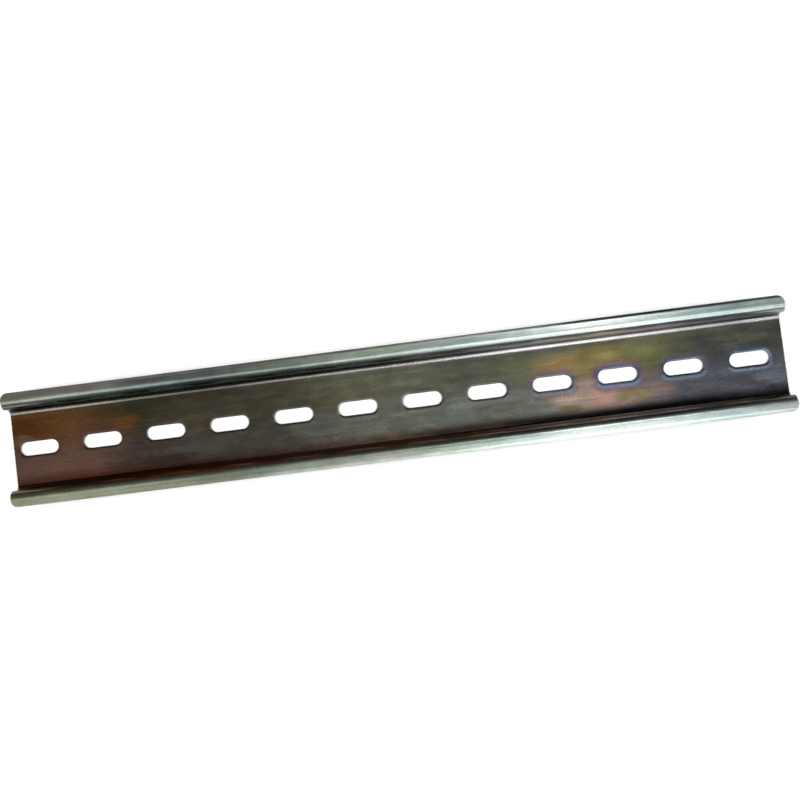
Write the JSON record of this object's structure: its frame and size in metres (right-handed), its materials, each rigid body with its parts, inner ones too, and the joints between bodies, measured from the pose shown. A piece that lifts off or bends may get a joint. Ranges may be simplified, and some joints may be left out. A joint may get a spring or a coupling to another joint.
{
  "type": "din rail",
  "caption": "Top-hat mounting rail of plated steel strip: a shallow channel with two turned-out lips and a row of round-ended slots along its web.",
  "frame": {"origin": "centre of the mounting back: halfway along the cut length and across the width, on the plane that the web's back rests on", "axes": "+X along the rail, +Y across it, +Z from the mounting back to the faces of the lips"},
  "size_m": [0.2384, 0.035, 0.0075],
  "materials": {
    "plated_steel": "zinc plated and passivated, with a thin iridescent film over rolling streaks"
  },
  "bodies": {
    "root": {"rail": "plated_steel"}
  },
  "joints": []
}
